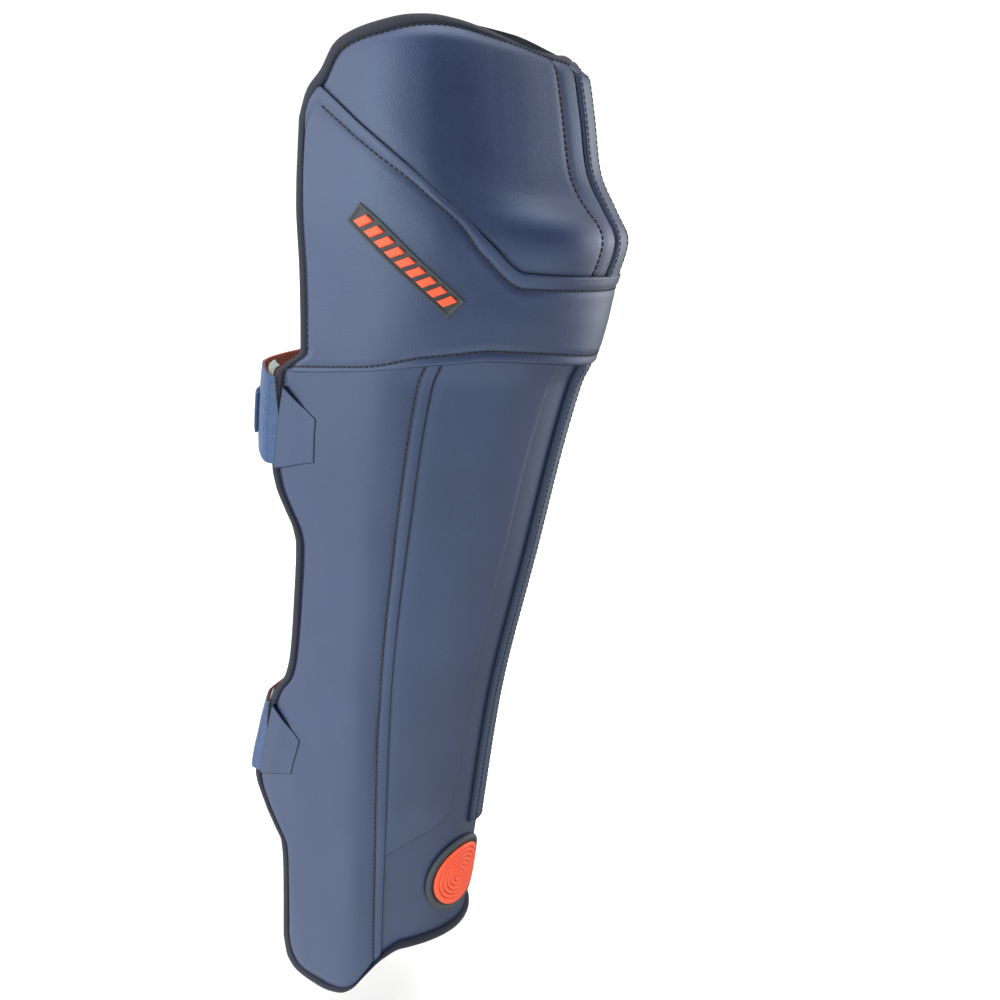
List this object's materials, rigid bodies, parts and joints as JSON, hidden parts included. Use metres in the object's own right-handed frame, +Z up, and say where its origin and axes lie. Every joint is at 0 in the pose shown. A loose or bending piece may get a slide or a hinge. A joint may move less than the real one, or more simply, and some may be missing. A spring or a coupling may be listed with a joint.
{
  "type": "batting pad",
  "caption": "Navy batting pad for one leg, held as worn: a bowl over the knee, long padded wings round the shin, orange trim badges and two webbing straps behind.",
  "frame": {"origin": "on the axis of the wearer's leg at the middle of the knee, inside the hollow of the pad", "axes": "+Z up along the leg, -Y to the front of the shin, -X to the outer side of the right leg"},
  "size_m": [0.2017, 0.1882, 0.5787],
  "materials": {
    "leather": "fine grained matte coated leather, navy",
    "shell": "matte navy cover over foam",
    "binding": "matte dark navy edge binding",
    "badge_base": "matte moulded base, dark grey green",
    "badge_relief": "satin moulded relief, orange",
    "strap": "blue woven webbing, orange inner face",
    "hook": "pale grey fastening tape"
  },
  "bodies": {
    "root": {"padded_shell": "shell", "edge_binding": "binding", "wing_outer": "leather", "wing_inner": "leather", "shin_panel_outer": "leather", "shin_panel_inner": "leather", "knee_panel_outer": "leather", "knee_panel_inner": "leather", "knee_band": "leather", "knee_strip": "leather", "shin_strip": "leather", "badge_disc": "badge_base", "badge_disc_relief": "badge_relief", "badge_bar": "badge_base", "badge_bar_rib_1": "badge_relief", "badge_bar_rib_2": "badge_relief", "badge_bar_rib_3": "badge_relief", "badge_bar_rib_4": "badge_relief", "badge_bar_rib_5": "badge_relief", "badge_bar_rib_6": "badge_relief", "badge_bar_rib_7": "badge_relief", "badge_bar_rib_8": "badge_relief", "badge_bar_rib_9": "badge_relief", "calf_tab_outer": "leather", "calf_tab_inner": "leather", "ankle_tab_outer": "leather", "ankle_tab_inner": "leather", "calf_strap": "strap", "calf_strap_hook": "hook", "calf_strap_end": "strap", "ankle_strap": "strap", "ankle_strap_hook": "hook"}
  },
  "joints": []
}
